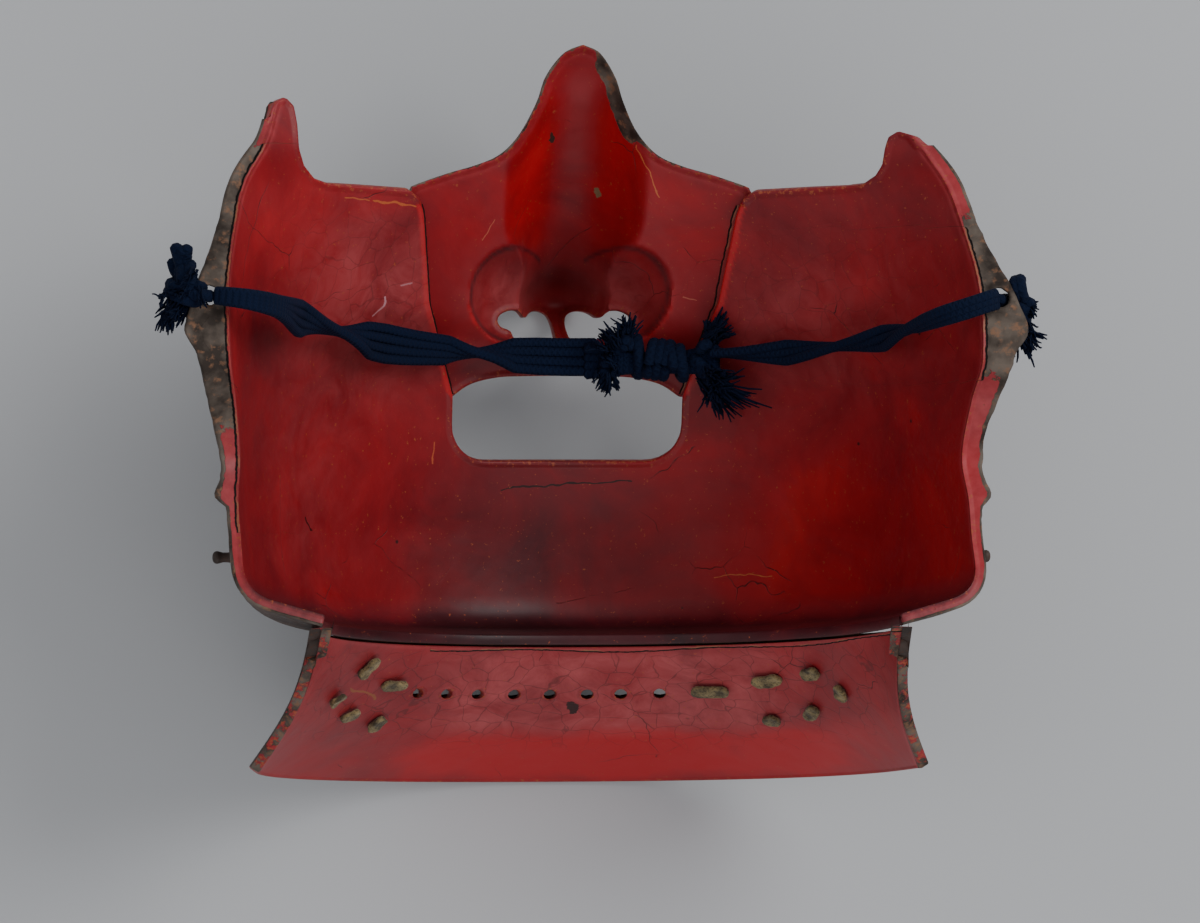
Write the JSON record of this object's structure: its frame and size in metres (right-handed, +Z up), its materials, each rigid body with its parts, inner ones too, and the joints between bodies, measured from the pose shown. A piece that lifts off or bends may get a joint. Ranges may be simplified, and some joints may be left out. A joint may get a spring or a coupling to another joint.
{
  "type": "samurai face guard",
  "caption": "Half face guard of lacquered sheet iron with nose, mouth opening, rear flanges, flared throat flange and a knotted braided cord.",
  "frame": {"origin": "on the floor under the middle of the guard as it lies face down, cords left out", "axes": "+Z up from the floor out of the open back, +X to the right as seen from above, +Y from the throat flange towards the nose bridge"},
  "size_m": [0.184, 0.162, 0.1145],
  "materials": {
    "red_lacquer": "vermilion lacquer over iron, worn and crackled, with russet iron showing on edges and outside",
    "russet_iron": "rusted wrought iron, matt",
    "old_leather": "dry, frayed",
    "indigo_braid": "braided cotton, frayed at the knots"
  },
  "bodies": {
    "root": {"face_shell": "red_lacquer", "nose_piece": "red_lacquer", "throat_flange": "red_lacquer", "jaw_peg_left": "russet_iron", "jaw_peg_right": "russet_iron", "lace_1": "old_leather", "lace_2": "old_leather", "lace_3": "old_leather", "lace_4": "old_leather", "lace_5": "old_leather", "lace_6": "old_leather", "lace_7": "old_leather", "lace_8": "old_leather", "lace_9": "old_leather", "lace_10": "old_leather", "lace_11": "old_leather", "cord_left": "indigo_braid", "cord_right": "indigo_braid", "knot_centre": "indigo_braid", "knot_left": "indigo_braid", "knot_right": "indigo_braid"}
  },
  "joints": []
}
